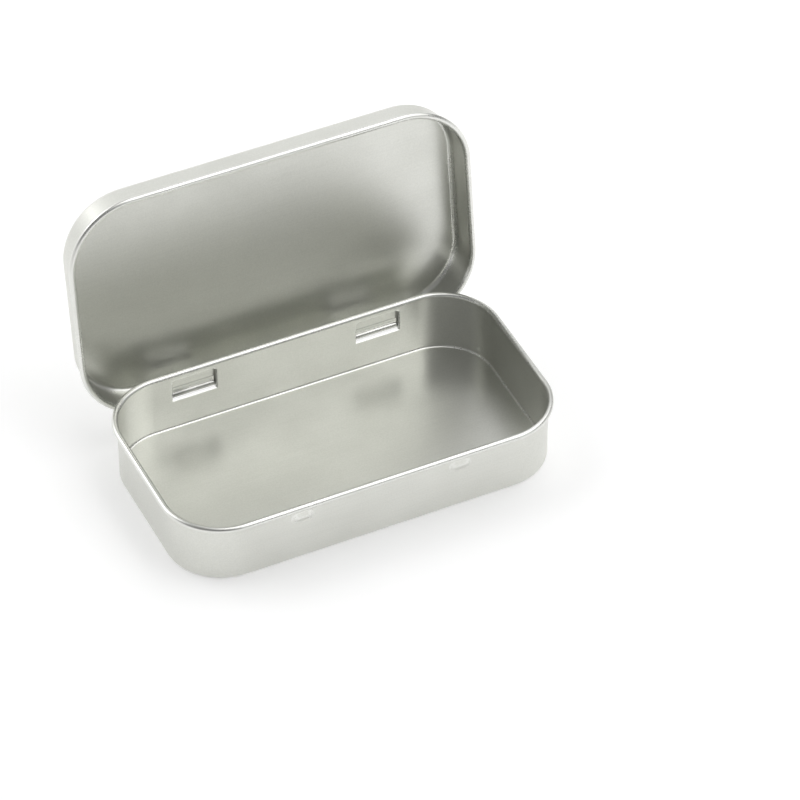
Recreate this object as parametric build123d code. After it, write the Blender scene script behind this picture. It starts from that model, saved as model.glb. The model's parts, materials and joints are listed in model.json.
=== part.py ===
from build123d import *
import math
import os

# A small hinged tin: a pressed base pan and a pressed lid pan that hook together at the back.
# Millimetres. X runs along the tin, the front is at -Y, the hinge is at +Y, and Z points up.
# The origin is the middle of the tin's underside. The lid stands open, leaning on its stop.

# Sheet metal and rolled rims, the same on both pans
sheet = 0.30
bead_radius = 0.80
bead_edge_gap = 0.10
overrun = 2.0
fold_count = 3
roll_count = 10
hidden_roll_count = 5

# Base pan
base_length = 101.0
base_width = 55.5
base_height = 17.5
base_corner = 14.5
base_fold = 1.2

# Lid pan
side_clearance = 0.35
front_clearance = 0.50
top_clearance = 0.20
lid_depth = 8.8
lid_fold = 1.5

# Hinge: two pockets in the base's back wall, each with a bar that a hook of the lid wraps
hinge_spacing = 50.0
pocket_width = 11.6
pocket_corner = 1.4
pocket_bend = 0.45
pocket_top_gap = 0.15
bar_radius = 0.34
bar_clearance = 0.22
slot_gap = 0.80
lip_drop = 0.90
lip_reach = 0.20
tab_clearance = 0.25
notch_clearance = 0.40
notch_height = 2.0
notch_corner = 0.5
hook_wrap = 235.0
stop_gap = 0.05

# Catch: two bumps pressed out of the base's front wall, under the rim
bump_spacing = 42.0
bump_length = 5.8
bump_height = 2.8
bump_depth = 1.0
bump_drop = 4.2

# Places that follow from the sizes above
base_inner_back = base_width / 2 - sheet
bead_reach = base_inner_back + 2 * bead_radius
lid_inner_back = bead_reach + side_clearance
lid_inner_front = bead_reach + front_clearance
lid_inner_side = base_length / 2 - sheet + 2 * bead_radius + side_clearance
lid_length = 2 * (lid_inner_side + sheet)
lid_width = lid_inner_back + lid_inner_front + 2 * sheet
lid_middle_y = (lid_inner_back - lid_inner_front) / 2
lid_corner = base_corner + (lid_length - base_length) / 2
lid_rim_z = base_height + top_clearance + sheet - lid_depth

hook_inner = bar_radius + bar_clearance
hook_outer = hook_inner + sheet
bar_y = lid_inner_back - hook_inner
bar_z = lid_rim_z + hook_outer
slot_top = bar_z + hook_outer + slot_gap

# The lid leans back until its rolled rim meets the base's back wall
rim_y = lid_inner_back + bead_radius - bar_y
rim_z = lid_rim_z + bead_radius - bar_z
rim_swing = math.hypot(rim_y, rim_z)
rim_start = math.degrees(math.atan2(-rim_z, rim_y))
rim_room = bar_y - base_width / 2 - bead_radius - stop_gap
open_angle = math.degrees(math.acos(-rim_room / rim_swing)) - rim_start


def bend(middle, radius, start, sweep, count):
    """The points of a bend in the sheet, seen in section and drawn as a few narrow flats."""
    angles = (math.radians(start + sweep * i / count) for i in range(count + 1))
    return [(middle[0] + radius * math.cos(a), middle[1] + radius * math.sin(a)) for a in angles]


def wall_section(fold, height):
    """The sheet from the floor up: a rounded fold, a straight wall and a rim rolled outwards."""
    roll_middle = (bead_radius - sheet, height - bead_radius)
    edge_cosine = (sheet + bead_edge_gap - bead_radius) / bead_radius
    roll_sweep = -180 - math.degrees(math.acos(edge_cosine))
    fold_middle = (-fold, fold)
    outside = [(-fold, 0)] + bend(fold_middle, fold, -90, 90, fold_count)
    outside_roll = bend(roll_middle, bead_radius - sheet, 180, roll_sweep, hidden_roll_count)
    inside_roll = bend(roll_middle, bead_radius, 180, roll_sweep, roll_count)
    inside = bend(fold_middle, fold - sheet, 0, -90, fold_count)
    return outside[1:] + outside_roll + inside_roll[::-1] + inside


def pan(length, width, corner, height, fold):
    """A drawn pan that stands on its floor: the wall's section led round it, and the flat floor."""
    section = Plane.XZ * make_face(Polyline(*wall_section(fold, height), close=True))
    path = RectangleRounded(length, width, corner).wire()
    wall = sweep(Pos(length / 2, 0, 0) * section, path=path)
    floor = RectangleRounded(length - 2 * fold, width - 2 * fold, corner - fold)
    return wall + extrude(floor, sheet)


def along_x(outline, width):
    """A Y-Z outline made solid over a width that is centred on X = 0."""
    return extrude(Plane.YZ * outline, width / 2, both=True)


def pocket_block(width, face_y, top, bottom, corner, bend):
    """A block shaped like a hinge pocket: flat face, rounded edges and rounded top corners."""
    start = base_inner_back - overrun
    block = Box(width, face_y - start, top - bottom, align=(Align.CENTER, Align.MIN, Align.MIN))
    block = Pos(0, start, bottom) * block
    block = fillet(block.edges().filter_by(Axis.Y).group_by(Axis.Z)[-1], corner)
    face = block.faces().sort_by(Axis.Y)[-1]
    return fillet(face.edges(), bend)


def with_pockets(base):
    """The hinge pockets pressed out of the back wall, each open below and crossed by a round bar."""
    top = base_height - 2 * bead_radius - pocket_top_gap
    bottom = bar_z - lip_drop
    face_y = bar_y + sheet / 2
    outer_width = pocket_width + 2 * sheet
    bump = pocket_block(outer_width, face_y, top, bottom - sheet, pocket_corner, pocket_bend)
    tin_side = Box(outer_width, overrun, base_height, align=(Align.CENTER, Align.MAX, Align.MIN))
    bump -= Pos(0, base_inner_back, 0) * tin_side
    hollow = pocket_block(
        pocket_width, face_y - sheet, top - sheet, bottom, pocket_corner - sheet, pocket_bend - sheet
    )
    slot = Box(pocket_width, overrun, slot_top, align=(Align.CENTER, Align.MIN, Align.MAX))
    slot = Pos(0, base_width / 2 + lip_reach, slot_top) * slot
    bar = Pos(0, bar_y, bar_z) * Rot(0, 90, 0) * Cylinder(bar_radius, pocket_width + sheet)
    for side in (-1, 1):
        place = Pos(side * hinge_spacing / 2, 0, 0)
        base = base + place * bump - place * hollow - place * slot + place * bar
    return base


def with_bumps(base):
    """The two catch bumps: each is a long shallow dimple, hollow from inside the tin."""
    front = -base_width / 2
    bump_radius = (bump_height**2 / 4 + bump_depth**2) / (2 * bump_depth)
    outside_only = Box(bump_length, overrun, bump_height, align=(Align.CENTER, Align.MAX, Align.CENTER))
    for side in (-1, 1):
        place = Pos(side * bump_spacing / 2, front, base_height - bump_drop)
        middle = place * Pos(0, bump_radius - bump_depth, 0)
        bump = middle * capsule(bump_radius) & place * Pos(0, sheet, 0) * outside_only
        base = base + bump - middle * capsule(bump_radius - sheet)
    return base


def capsule(radius):
    """A round bar along X with ball ends, as long between the balls as a bump is longer than high."""
    straight = bump_length - bump_height
    bar = Rot(0, 90, 0) * Cylinder(radius, straight)
    return bar + Pos(-straight / 2, 0, 0) * Sphere(radius) + Pos(straight / 2, 0, 0) * Sphere(radius)


def with_hooks(lid):
    """The hinge side of the lid: rim cut away beside each tab, and the tab curled round its bar."""
    cut_width = pocket_width + 2 * (sheet + notch_clearance)
    cut_deep = 2 * bead_radius + sheet + overrun
    notch = Box(cut_width, cut_deep, notch_height + overrun)
    notch = fillet(notch.edges().filter_by(Axis.Y).group_by(Axis.Z)[-1], notch_corner)
    notch_y = lid_inner_back - overrun / 2 + cut_deep / 2
    notch_z = lid_rim_z + notch_height - (notch_height + overrun) / 2
    tab_width = pocket_width - 2 * tab_clearance
    middle = (bar_y, bar_z)
    inner = CenterArc(middle, hook_inner, 0, -hook_wrap)
    outer = CenterArc(middle, hook_outer, 0, -hook_wrap)
    tab_top = lid_rim_z + notch_height + sheet
    neck = Polyline(inner @ 0, (bar_y + hook_inner, tab_top), (bar_y + hook_outer, tab_top), outer @ 0)
    hook = along_x(make_face([inner, Line(inner @ 1, outer @ 1), outer, neck]), tab_width)
    for side in (-1, 1):
        x = side * hinge_spacing / 2
        lid = lid - Pos(x, notch_y, notch_z) * notch + Pos(x, 0, 0) * hook
    return lid


base_pan = with_bumps(with_pockets(pan(base_length, base_width, base_corner, base_height, base_fold)))

lid_pan = Rot(180, 0, 0) * pan(lid_length, lid_width, lid_corner, lid_depth, lid_fold)
lid_pan = Pos(0, lid_middle_y, lid_rim_z + lid_depth) * lid_pan
lid_pan = with_hooks(lid_pan)
hinge_axis = Axis((0, bar_y, bar_z), (1, 0, 0))
lid_pan = lid_pan.rotate(hinge_axis, -open_angle)

os.makedirs("parts", exist_ok=True)
for name, solid in (("base_pan", base_pan), ("lid_pan", lid_pan)):
    export_step(solid, f"parts/{name}.step")

print(f"open angle {open_angle:.2f}, hinge at y {bar_y:.3f} z {bar_z:.3f}")
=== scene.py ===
import json
import math
import bmesh
import bpy
from mathutils import Matrix, Vector


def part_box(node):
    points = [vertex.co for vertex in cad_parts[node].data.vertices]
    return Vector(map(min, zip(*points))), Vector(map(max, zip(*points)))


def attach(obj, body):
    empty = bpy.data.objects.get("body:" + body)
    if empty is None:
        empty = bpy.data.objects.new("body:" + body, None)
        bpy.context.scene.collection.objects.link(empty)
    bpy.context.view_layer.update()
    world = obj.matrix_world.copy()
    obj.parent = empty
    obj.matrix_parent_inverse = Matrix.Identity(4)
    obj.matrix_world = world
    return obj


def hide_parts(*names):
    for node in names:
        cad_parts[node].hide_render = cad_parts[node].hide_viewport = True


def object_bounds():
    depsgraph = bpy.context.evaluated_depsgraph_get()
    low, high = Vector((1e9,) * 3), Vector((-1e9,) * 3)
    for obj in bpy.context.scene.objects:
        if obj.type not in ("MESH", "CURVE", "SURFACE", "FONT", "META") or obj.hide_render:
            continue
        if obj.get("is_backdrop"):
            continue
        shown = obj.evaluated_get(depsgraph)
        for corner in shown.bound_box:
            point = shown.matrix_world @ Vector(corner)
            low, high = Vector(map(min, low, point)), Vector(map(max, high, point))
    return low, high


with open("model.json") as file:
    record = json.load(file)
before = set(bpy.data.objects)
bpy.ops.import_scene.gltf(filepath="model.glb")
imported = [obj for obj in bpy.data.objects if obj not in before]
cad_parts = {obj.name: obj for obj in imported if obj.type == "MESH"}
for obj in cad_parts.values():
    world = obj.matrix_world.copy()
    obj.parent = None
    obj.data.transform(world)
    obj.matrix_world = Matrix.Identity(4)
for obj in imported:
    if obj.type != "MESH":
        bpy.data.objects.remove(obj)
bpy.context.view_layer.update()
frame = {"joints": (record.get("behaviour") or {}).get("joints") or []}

# Tinplate: mild steel sheet with a thin coat of matt tin, the same for both pans. Fine crystals and faint
# rolling lines show in the cloudy satin, handling has burnished the rims, the folds and the cut edges
# brighter and smoother, and a near-black painted shade lies round the two hinge bars, darkening their gaps.
MM = 0.001
tin_dark = (0.675, 0.681, 0.638, 1.0)
tin_light = (0.745, 0.750, 0.708, 1.0)
tin_burnished = (0.785, 0.789, 0.757, 1.0)
# Near-black painted shade for the gaps round the hinge bars.
tin_hinge_shade = (0.045, 0.045, 0.043, 1.0)
tin_roughness = 0.31
roughness_spread = 0.03
burnished_roughness = 0.28
crystal_size, crystal_detail = 0.38 * MM, 1.0
cloud_size, cloud_detail = 15 * MM, 4.0
rolling_length, rolling_width, rolling_detail = 18 * MM, 0.5 * MM, 2.0
crystal_share, cloud_share, rolling_share = 0.42, 0.42, 0.16
darkest_tone, lightest_tone = 0.36, 0.64
rub_size, rub_detail = cloud_size / 2, 1.0
rub_low, rub_high = 0.35, 0.65
least_rub = 0.55
crystal_depth = 0.0045 * MM
crystal_middle = 0.5
worn_depth = 0.1

tinplate = bpy.data.materials.new("satin_tinplate")
tinplate.use_nodes = True
nodes, links = tinplate.node_tree.nodes, tinplate.node_tree.links
shader = nodes["Principled BSDF"]
shader.inputs["Metallic"].default_value = 1.0
on_tin = nodes.new("ShaderNodeTexCoord")


def tin_noise(size, detail):
    """A noise whose patches are about this size along X, Y and Z."""
    stretch = nodes.new("ShaderNodeMapping")
    stretch.inputs["Scale"].default_value = [1 / s for s in size]
    links.new(on_tin.outputs["Object"], stretch.inputs["Vector"])
    noise = nodes.new("ShaderNodeTexNoise")
    noise.inputs["Scale"].default_value = 1.0
    noise.inputs["Detail"].default_value = detail
    links.new(stretch.outputs["Vector"], noise.inputs["Vector"])
    return noise.outputs["Fac"]


def tin_mix(mask, first, second):
    """A colour between two others, each of them a colour or the output of another mix."""
    mix = nodes.new("ShaderNodeMix")
    mix.data_type = "RGBA"
    links.new(mask, mix.inputs["Factor"])
    for socket, color in ((mix.inputs[6], first), (mix.inputs[7], second)):
        if isinstance(color, tuple):
            socket.default_value = color
        else:
            links.new(color, socket)
    return mix.outputs[2]


def worked_out(operation, *values):
    """A mask worked out from other masks and numbers, in the material at hand."""
    step = nodes.new("ShaderNodeMath")
    step.operation = operation
    for socket, value in zip(step.inputs, values):
        if isinstance(value, float):
            socket.default_value = value
        else:
            links.new(value, socket)
    return step.outputs["Value"]


def ranged(mask, low, high, to_low, to_high, easing="LINEAR"):
    """A mask taken from one range to another, without passing its ends, in the material at hand."""
    change = nodes.new("ShaderNodeMapRange")
    change.interpolation_type = easing
    links.new(mask, change.inputs["Value"])
    for name, value in (("From Min", low), ("From Max", high), ("To Min", to_low), ("To Max", to_high)):
        change.inputs[name].default_value = value
    return change.outputs["Result"]


crystals = tin_noise((crystal_size, crystal_size, crystal_size), crystal_detail)
clouds = tin_noise((cloud_size, cloud_size, cloud_size), cloud_detail)
rolling = tin_noise((rolling_length, rolling_width, rolling_width), rolling_detail)
crystal_part = worked_out("MULTIPLY", crystals, crystal_share)
cloud_part = worked_out("MULTIPLY", clouds, cloud_share)
rolling_part = worked_out("MULTIPLY", rolling, rolling_share)
tone = worked_out("ADD", worked_out("ADD", crystal_part, cloud_part), rolling_part)
tone = ranged(tone, darkest_tone, lightest_tone, 0.0, 1.0)

bends = nodes.new("ShaderNodeAttribute")
bends.attribute_name = "bend"
rubbed = ranged(tin_noise((rub_size, rub_size, rub_size), rub_detail), rub_low, rub_high, least_rub, 1.0)
wear = worked_out("MULTIPLY", bends.outputs["Fac"], rubbed)

# A near-black painted shade lies close round each bar, over the bar's length and down to just below it,
# darkening the hinge gaps.
hinge_x = 25.0 * MM
hinge_y, hinge_z = frame["joints"][0]["pos_m"][1:]
hinge_shade_near, hinge_shade_far = 1.6 * MM, 2.5 * MM
hinge_shade_inside, hinge_shade_outside = 5.2 * MM, 6.4 * MM
hinge_shade_floor = hinge_z - 0.82 * MM
hinge_shade_floor_fade = 0.06 * MM
hinge_shade_cover = 0.95
around = nodes.new("ShaderNodeMapping")
around.inputs["Location"].default_value = (0, -hinge_y, -hinge_z)
around.inputs["Scale"].default_value = (0, 1, 1)
links.new(on_tin.outputs["Object"], around.inputs["Vector"])
away = nodes.new("ShaderNodeVectorMath")
away.operation = "LENGTH"
links.new(around.outputs["Vector"], away.inputs[0])
spot = nodes.new("ShaderNodeSeparateXYZ")
links.new(on_tin.outputs["Object"], spot.inputs["Vector"])
along = worked_out("SUBTRACT", worked_out("ABSOLUTE", spot.outputs["X"]), hinge_x)
along = worked_out("ABSOLUTE", along)
hinge_shade = ranged(away.outputs["Value"], hinge_shade_near, hinge_shade_far, 1.0, 0.0)
hinge_shade = worked_out("MULTIPLY", hinge_shade, ranged(along, hinge_shade_inside, hinge_shade_outside, 1.0, 0.0))
hinge_shade = worked_out("MULTIPLY", hinge_shade, ranged(wear, 0.0, 1.0, hinge_shade_cover, 0.0))
above = ranged(spot.outputs["Z"], hinge_shade_floor, hinge_shade_floor + hinge_shade_floor_fade, 0.0, 1.0)
hinge_shade = worked_out("MULTIPLY", hinge_shade, above)

color = tin_mix(wear, tin_mix(tone, tin_dark, tin_light), tin_burnished)
# The near-black painted shade of the hinge gaps is mixed into the tin's colour here.
links.new(tin_mix(hinge_shade, color, tin_hinge_shade), shader.inputs["Base Color"])
roughest, smoothest = tin_roughness + roughness_spread, tin_roughness - roughness_spread
roughness = ranged(tone, 0.0, 1.0, roughest, smoothest)
smoother = worked_out("MULTIPLY", wear, burnished_roughness - tin_roughness)
links.new(worked_out("ADD", roughness, smoother), shader.inputs["Roughness"])
relief = nodes.new("ShaderNodeBump")
relief.inputs["Strength"].default_value = 1.0
relief.inputs["Distance"].default_value = crystal_depth
centred = worked_out("SUBTRACT", crystals, crystal_middle)
height = worked_out("MULTIPLY", centred, ranged(wear, 0.0, 1.0, 1.0, worn_depth))
links.new(height, relief.inputs["Height"])
links.new(relief.outputs["Normal"], shader.inputs["Normal"])

# Base pan: one sheet of the tinplate, pressed into a shallow pan with rounded corners and its rim rolled
# outwards. Two hinge pockets, each with a round bar across it, are pressed out of its back wall, and two
# catch bumps out of its front wall.
sheet = 0.30 * MM
rim_radius, rim_steps = 0.80 * MM, 26
rim_gap = 0.10 * MM
fold_steps = 8
corner_steps = 28
slack = sheet / 9
fine_slack = slack / 9
merge_distance = 0.001 * MM


def pick(kind, test):
    """In edit mode, selects the vertices, edges or faces whose middle passes the test."""
    bpy.ops.mesh.select_mode(type=kind)
    bpy.ops.mesh.select_all(action="DESELECT")
    mesh = bmesh.from_edit_mesh(bpy.context.object.data)
    for part in {"VERT": mesh.verts, "EDGE": mesh.edges, "FACE": mesh.faces}[kind]:
        middle = part.co if kind == "VERT" else sum((v.co for v in part.verts), Vector()) / len(part.verts)
        part.select_set(bool(test(middle)))
    bmesh.update_edit_mesh(bpy.context.object.data)


def turn(degrees, center, axis, steps):
    """Spins what is selected by the right-hand rule about an axis through the center."""
    bpy.ops.mesh.spin(steps=steps, angle=-math.radians(degrees), center=center, axis=axis)


def run(offset):
    """Extrudes what is selected in a straight line."""
    bpy.ops.mesh.extrude_region_move(TRANSFORM_OT_translate={"value": offset})


def cut(point, normal):
    """Cuts what is selected along a plane."""
    bpy.ops.mesh.bisect(plane_co=point, plane_no=normal)


def pressed_pan(name, length, width, corner, height, fold):
    """A pan's outer skin: the wall's profile is drawn upwards, then led once round the pan."""
    bpy.ops.object.select_all(action="DESELECT")
    side, start_y = length / 2, corner - width / 2
    seed_x, seed_y = side - 1.5 * fold, start_y + fold / 2
    # A small plane, cut down to the one corner where the profile starts.
    bpy.ops.mesh.primitive_plane_add(size=fold, location=(seed_x, seed_y, 0))
    pan = bpy.context.object
    pan.name = name
    bpy.ops.object.transform_apply()
    bpy.ops.object.mode_set(mode="EDIT")
    pick("VERT", lambda p: p.y > seed_y)
    bpy.ops.mesh.delete(type="VERT")
    pick("VERT", lambda p: p.x < seed_x)
    bpy.ops.mesh.delete(type="VERT")
    pick("VERT", lambda p: True)
    turn(-90, (side - fold, start_y, fold), (0, 1, 0), fold_steps)
    run((0, 0, height - rim_radius - fold))
    roll = 180 + math.degrees(math.acos((sheet + rim_gap - rim_radius) / rim_radius))
    turn(roll, (side + rim_radius - sheet, start_y, height - rim_radius), (0, 1, 0), rim_steps)
    bpy.ops.mesh.select_all(action="SELECT")
    long_run, short_run = length - 2 * corner, width - 2 * corner
    corners = (
        (1, 1, (0, short_run, 0)),
        (-1, 1, (-long_run, 0, 0)),
        (-1, -1, (0, -short_run, 0)),
        (1, -1, (long_run, 0, 0)),
    )
    for right, back, offset in corners:
        run(offset)
        turn(90, (right * (side - corner), back * (width / 2 - corner), 0), (0, 0, 1), corner_steps)
    bpy.ops.mesh.select_all(action="SELECT")
    bpy.ops.mesh.remove_doubles(threshold=merge_distance)
    pick("VERT", lambda p: abs(p.z) < fine_slack)
    bpy.ops.mesh.edge_face_add()
    return pan


low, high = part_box("base_pan")
base_height = high.z
base_length = high.x - low.x - 2 * (2 * rim_radius - sheet)
base_width = 55.5 * MM
base_corner = 14.5 * MM
base_fold = 0.8 * MM
base_back, base_front = base_width / 2, -base_width / 2
base = pressed_pan("base_shell", base_length, base_width, base_corner, base_height, base_fold)

pocket_width = 11.6 * MM
pocket_top_gap = 0.15 * MM
pocket_corner, pocket_corner_steps = 1.4 * MM, 8
pocket_bend = 0.45 * MM
pocket_root = 0.25 * MM
pocket_bend_steps = 4
pocket_margin = 0.60 * MM
lip_drop, lip_reach = 0.90 * MM, 0.20 * MM
bar_radius, bar_steps = 0.34 * MM, 28
bar_clearance = 0.22 * MM
slot_gap = 1.20 * MM
slot_half = pocket_width / 2
pocket_half = slot_half + sheet
pocket_depth = hinge_y + sheet / 2 - base_back
pocket_face = base_back + pocket_depth
pocket_top = base_height - 2 * rim_radius - pocket_top_gap
pocket_bottom = hinge_z - lip_drop - sheet
hook_radius = bar_radius + bar_clearance + sheet
slot_top = hinge_z + hook_radius + slot_gap
for x in (-hinge_x, hinge_x):
    on_back = lambda p: abs(p.y - base_back) < slack
    in_width = lambda p: abs(p.x - x) < pocket_half + slack
    in_outline = lambda p: in_width(p) and pocket_bottom - slack < p.z < pocket_top + slack
    stands_out = lambda p: p.y > base_back + slack and in_outline(p)
    for edge_x in (x - pocket_half - pocket_margin, x + pocket_half + pocket_margin):
        pick("FACE", lambda p: p.y > base_back - base_fold and abs(p.x) < base_length / 2 - base_corner)
        cut((edge_x, 0, 0), (1, 0, 0))
    for level in (pocket_bottom - pocket_margin, pocket_top + pocket_margin):
        pick("FACE", lambda p: on_back(p) and abs(p.x - x) < pocket_half and p.z > base_fold)
        cut((0, 0, level), (0, 0, 1))
    pick("FACE", lambda p: on_back(p) and in_outline(p))
    bpy.ops.mesh.inset(thickness=pocket_margin)
    run((0, pocket_depth, 0))
    pick("EDGE", lambda p: stands_out(p) and p.y < pocket_face - slack and p.z > pocket_top - slack)
    bpy.ops.mesh.bevel(
        offset=pocket_corner, offset_type="OFFSET", segments=pocket_corner_steps, affect="EDGES"
    )
    pick("FACE", lambda p: stands_out(p) and p.y > pocket_face - slack)
    bpy.ops.mesh.region_to_loop()
    bpy.ops.mesh.bevel(offset=pocket_bend, offset_type="OFFSET", segments=pocket_bend_steps, affect="EDGES")
    pick("EDGE", lambda p: on_back(p) and in_outline(p))
    bpy.ops.mesh.bevel(offset=pocket_root, offset_type="OFFSET", segments=pocket_bend_steps, affect="EDGES")
    pick("FACE", stands_out)
    cut((0, 0, slot_top), (0, 0, 1))
    for edge_x in (x - slot_half, x + slot_half):
        pick("FACE", lambda p: stands_out(p) and p.z < slot_top)
        cut((edge_x, 0, 0), (1, 0, 0))
    pick("FACE", lambda p: stands_out(p) and p.z < slot_top)
    cut((0, base_back + lip_reach, 0), (0, 1, 0))
    in_slot = lambda p: p.y > base_back + lip_reach and p.z < slot_top and abs(p.x - x) < slot_half
    pick("FACE", lambda p: stands_out(p) and in_slot(p))
    bpy.ops.mesh.delete(type="FACE")

bump_x = 21.0 * MM
bump_drop = 4.2 * MM
bump_length, bump_height, bump_depth = 6.2 * MM, 3.4 * MM, 0.40 * MM
bump_margin = 0.2 * MM
bump_cuts = 23
bump_z = base_height - bump_drop
bump_ridge = (bump_length - bump_height) / 2
patch_x, patch_z = bump_length / 2 + bump_margin, bump_height / 2 + bump_margin
for x in (-bump_x, bump_x):
    on_front = lambda p: abs(p.y - base_front) < slack and base_fold < p.z < base_height - rim_radius
    for edge_x in (x - patch_x, x + patch_x):
        pick("FACE", lambda p: on_front(p) and abs(p.x) < base_length / 2 - base_corner)
        cut((edge_x, 0, 0), (1, 0, 0))
    for level in (bump_z - patch_z, bump_z + patch_z):
        pick("FACE", lambda p: on_front(p) and abs(p.x - x) < patch_x)
        cut((0, 0, level), (0, 0, 1))
    pick("FACE", lambda p: on_front(p) and abs(p.x - x) < patch_x and abs(p.z - bump_z) < patch_z)
    bpy.ops.mesh.subdivide(number_cuts=bump_cuts)
    on_ridge = lambda p: abs(p.x - x) < bump_ridge + slack and abs(p.z - bump_z) < slack
    pick("VERT", lambda p: on_front(p) and on_ridge(p))
    bpy.ops.transform.translate(
        value=(0, -bump_depth, 0),
        use_proportional_edit=True,
        proportional_edit_falloff="SMOOTH",
        proportional_size=bump_height / 2,
    )


def press_sheet(pan):
    """Gives the finished skin the sheet's thickness, inwards."""
    bpy.ops.mesh.select_all(action="SELECT")
    bpy.ops.mesh.normals_make_consistent(inside=True)
    bpy.ops.object.mode_set(mode="OBJECT")
    thickness = pan.modifiers.new("sheet", "SOLIDIFY")
    thickness.thickness = sheet
    thickness.offset = -1
    thickness.use_even_offset = True
    bpy.ops.object.modifier_apply(modifier="sheet")


press_sheet(base)
bpy.ops.object.mode_set(mode="EDIT")
for x in (-hinge_x, hinge_x):
    bpy.ops.mesh.primitive_cylinder_add(
        vertices=bar_steps,
        radius=bar_radius,
        depth=pocket_width + sheet,
        location=(x, hinge_y, hinge_z),
        rotation=(0, math.pi / 2, 0),
    )
bpy.ops.object.mode_set(mode="OBJECT")

bend_width = 0.35 * MM
bend_turn = math.radians(3.5)
smooth_angle = math.radians(32)
flat_weight = 100


def mark_bends(pan):
    """Marks the narrow faces of rims, folds, presses and cut edges, which handling burnishes."""
    mesh = bmesh.new()
    mesh.from_mesh(pan.data)
    bend = mesh.faces.layers.float.new("bend")
    for face in mesh.faces:
        narrow = face.calc_area() < bend_width * max(edge.calc_length() for edge in face.edges)
        turns = [edge for edge in face.edges if edge.calc_face_angle(0) > bend_turn]
        face[bend] = float(narrow and len(turns) > 1)
    mesh.to_mesh(pan.data)
    mesh.free()


def smooth(pan):
    """Shades the pan smooth, with its flats flat and its cut edges sharp."""
    bpy.ops.object.shade_smooth_by_angle(angle=smooth_angle)
    weight = pan.modifiers.new("weight", "WEIGHTED_NORMAL")
    weight.keep_sharp = True
    weight.weight = flat_weight
    bpy.ops.object.modifier_apply(modifier="weight")


mark_bends(base)
smooth(base)
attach(base, "base")
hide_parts("base_pan")
base.data.materials.append(tinplate)

# Lid pan: one sheet of the tinplate, pressed into a larger, shallower pan with the same rolled rim. At the
# back its rim is cut away in two places, where a tab of the sheet curls round each hinge bar. It is
# modelled upside down on the floor, then turned over and swung open about the bars.
side_clearance, front_clearance, top_clearance = 0.35 * MM, 0.50 * MM, 0.20 * MM
lid_depth = 8.8 * MM
lid_fold = 1.5 * MM
low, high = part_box("lid_pan")
lid_length = high.x - low.x - 2 * (2 * rim_radius - sheet)
base_rim_back = base_back - sheet + 2 * rim_radius
lid_inner_back = base_rim_back + side_clearance
lid_inner_front = base_rim_back + front_clearance
lid_width = lid_inner_back + lid_inner_front + 2 * sheet
lid_middle_y = (lid_inner_back - lid_inner_front) / 2
lid_corner = base_corner + (lid_length - base_length) / 2
lid_top = base_height + top_clearance + sheet
lid = pressed_pan("lid_shell", lid_length, lid_width, lid_corner, lid_depth, lid_fold)

notch_clearance, tab_clearance = 0.40 * MM, 0.25 * MM
notch_height = 2.0 * MM
hook_wrap, hook_steps = 235, 20
notch_half = pocket_half + notch_clearance
tab_half = slot_half - tab_clearance
notch_level = lid_depth - notch_height
hook_y = lid_middle_y - hinge_y
hook_z = lid_top - hinge_z
lid_back = -lid_width / 2
for x in (-hinge_x, hinge_x):
    on_back = lambda p: abs(p.y - lid_back) < slack
    in_notch = lambda p: abs(p.x - x) < notch_half
    for edge_x in (x - notch_half, x - tab_half, x + tab_half, x + notch_half):
        pick("FACE", lambda p: p.y < lid_back + lid_fold and abs(p.x) < lid_length / 2 - lid_corner)
        cut((edge_x, 0, 0), (1, 0, 0))
    pick("FACE", lambda p: on_back(p) and in_notch(p) and p.z > lid_fold)
    cut((0, 0, notch_level), (0, 0, 1))
    pick("FACE", lambda p: p.y < lid_back + lid_fold and in_notch(p) and p.z > notch_level)
    bpy.ops.mesh.delete(type="FACE")
    pick("EDGE", lambda p: on_back(p) and abs(p.x - x) < tab_half and abs(p.z - notch_level) < slack)
    run((0, 0, hook_z - notch_level))
    turn(-hook_wrap, (x, hook_y, hook_z), (1, 0, 0), hook_steps)

press_sheet(lid)
mark_bends(lid)
smooth(lid)
hinge = Vector((0, hinge_y, hinge_z))
open_angle = math.radians(frame["joints"][0]["range_deg"][1])
swing = Matrix.Translation(hinge) @ Matrix.Rotation(-open_angle, 4, "X") @ Matrix.Translation(-hinge)
lid.matrix_world = swing @ Matrix.Translation((0, lid_middle_y, lid_top)) @ Matrix.Rotation(math.pi, 4, "X")
bpy.ops.object.transform_apply()
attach(lid, "lid")
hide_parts("lid_pan")
lid.data.materials.append(tinplate)

# Floor: a wide plain sheet of matt white paper that the tin stands on, which keeps its shadow.
# Where the camera or the tin's gloss sees the paper, it glows a little, so that it looks white.
floor_size = 6.0
paper_color = (0.85, 0.85, 0.85, 1.0)
paper_roughness = 0.9
paper_gloss = 0.0
paper_glow = 0.28
bpy.ops.object.select_all(action="DESELECT")
bpy.ops.mesh.primitive_plane_add(size=floor_size)
floor = bpy.context.object
floor.name = "floor"
floor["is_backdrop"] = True
paper = bpy.data.materials.new("white_paper")
paper.use_nodes = True
nodes, links = paper.node_tree.nodes, paper.node_tree.links
shader = nodes["Principled BSDF"]
shader.inputs["Base Color"].default_value = paper_color
shader.inputs["Roughness"].default_value = paper_roughness
shader.inputs["Specular IOR Level"].default_value = paper_gloss
shader.inputs["Emission Color"].default_value = (1, 1, 1, 1)
ray = nodes.new("ShaderNodeLightPath")
seen = worked_out("MAXIMUM", ray.outputs["Is Camera Ray"], ray.outputs["Is Glossy Ray"])
seen = worked_out("MAXIMUM", seen, ray.outputs["Is Transmission Ray"])
links.new(worked_out("MULTIPLY", seen, paper_glow), shader.inputs["Emission Strength"])
floor.data.materials.append(paper)

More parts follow.
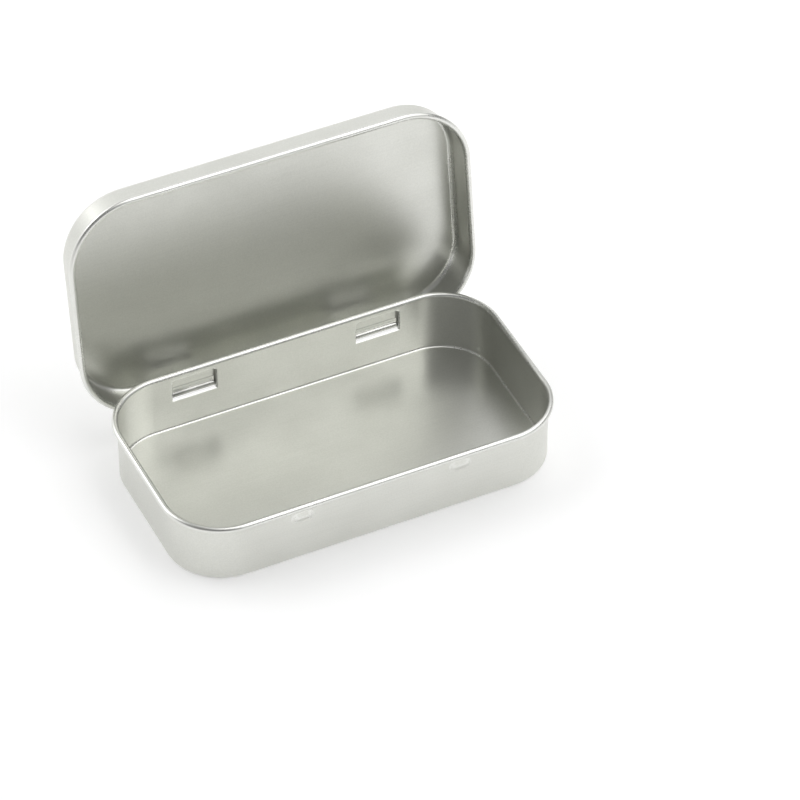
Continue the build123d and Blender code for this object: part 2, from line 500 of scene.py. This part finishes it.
# Lamps: three soft panels, a large one high on the right, a small one overhead and one behind on the left.
# The pale room round them is brightest behind the tin and near the horizon, and dim overhead.
room_bright_way = (-0.35, 1, -0.5)
room_bright_from, room_bright_to = 0.0, 0.5
room_dim, room_bright = 0.22, 1.05
horizon_low, horizon_high = 0.05, 0.35
horizon_bright = 0.9


def panel(name, place, aim, width, length, radiance):
    """A soft rectangular lamp that shines from its place towards a point."""
    lamp = bpy.data.objects.new(name, bpy.data.lights.new(name, "AREA"))
    bpy.context.scene.collection.objects.link(lamp)
    lamp.data.shape = "RECTANGLE"
    lamp.data.size, lamp.data.size_y = width, length
    lamp.data.energy = math.pi * width * length * radiance
    lamp.location = place
    lamp.rotation_mode = "QUATERNION"
    lamp.rotation_quaternion = (Vector(aim) - Vector(place)).to_track_quat("-Z", "Y")


panel("side_panel", place=(0.70, -0.35, 0.9), aim=(0.70, -0.35, 0), width=1.1, length=2.0, radiance=1.4)
panel("overhead_panel", place=(0.10, -0.1, 1.0), aim=(0.10, -0.1, 0), width=0.5, length=0.5, radiance=1.5)
panel("back_panel", place=(-0.55, 0.55, 0.75), aim=(0, 0, 0), width=0.7, length=0.7, radiance=1.6)
world = bpy.data.worlds.new("pale_room")
bpy.context.scene.world = world
world.use_nodes = True
nodes, links = world.node_tree.nodes, world.node_tree.links
nodes["Background"].inputs["Color"].default_value = (1, 1, 1, 1)
outward = nodes.new("ShaderNodeTexCoord")
toward_bright = nodes.new("ShaderNodeVectorMath")
toward_bright.operation = "DOT_PRODUCT"
toward_bright.inputs[1].default_value = room_bright_way
links.new(outward.outputs["Generated"], toward_bright.inputs[0])
brightness = ranged(
    toward_bright.outputs["Value"], room_bright_from, room_bright_to, room_dim, room_bright, "SMOOTHSTEP"
)
outward_parts = nodes.new("ShaderNodeSeparateXYZ")
links.new(outward.outputs["Generated"], outward_parts.inputs["Vector"])
horizon = ranged(outward_parts.outputs["Z"], horizon_low, horizon_high, horizon_bright, 0.0, "SMOOTHSTEP")
links.new(worked_out("MAXIMUM", brightness, horizon), nodes["Background"].inputs["Strength"])

# Camera: a long lens, looking down on the tin from the front left, as the photograph does.
# Its place and its lens come from points that were matched along the tin's rims and folds.
view_azimuth, view_elevation = math.radians(-25.56), math.radians(42.42)
view_distance = 1258.6 * MM
view_target = Vector((24.14, 12.66, 0)) * MM
lens_mm, sensor_mm = 226.8, 36.0
nearest_seen, farthest_seen = 0.01, 10.0
camera = bpy.data.objects.new("camera", bpy.data.cameras.new("camera"))
bpy.context.scene.collection.objects.link(camera)
bpy.context.scene.camera = camera
camera.data.lens = lens_mm
camera.data.sensor_width = sensor_mm
flat = math.cos(view_elevation)
toward = Vector((math.sin(view_azimuth) * flat, -math.cos(view_azimuth) * flat, math.sin(view_elevation)))
camera.location = view_target + toward * view_distance
camera.rotation_mode = "QUATERNION"
camera.rotation_quaternion = (-toward).to_track_quat("-Z", "Y")
camera.data.clip_start, camera.data.clip_end = nearest_seen, farthest_seen
bpy.context.scene.view_settings.view_transform = "Standard"

low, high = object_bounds()
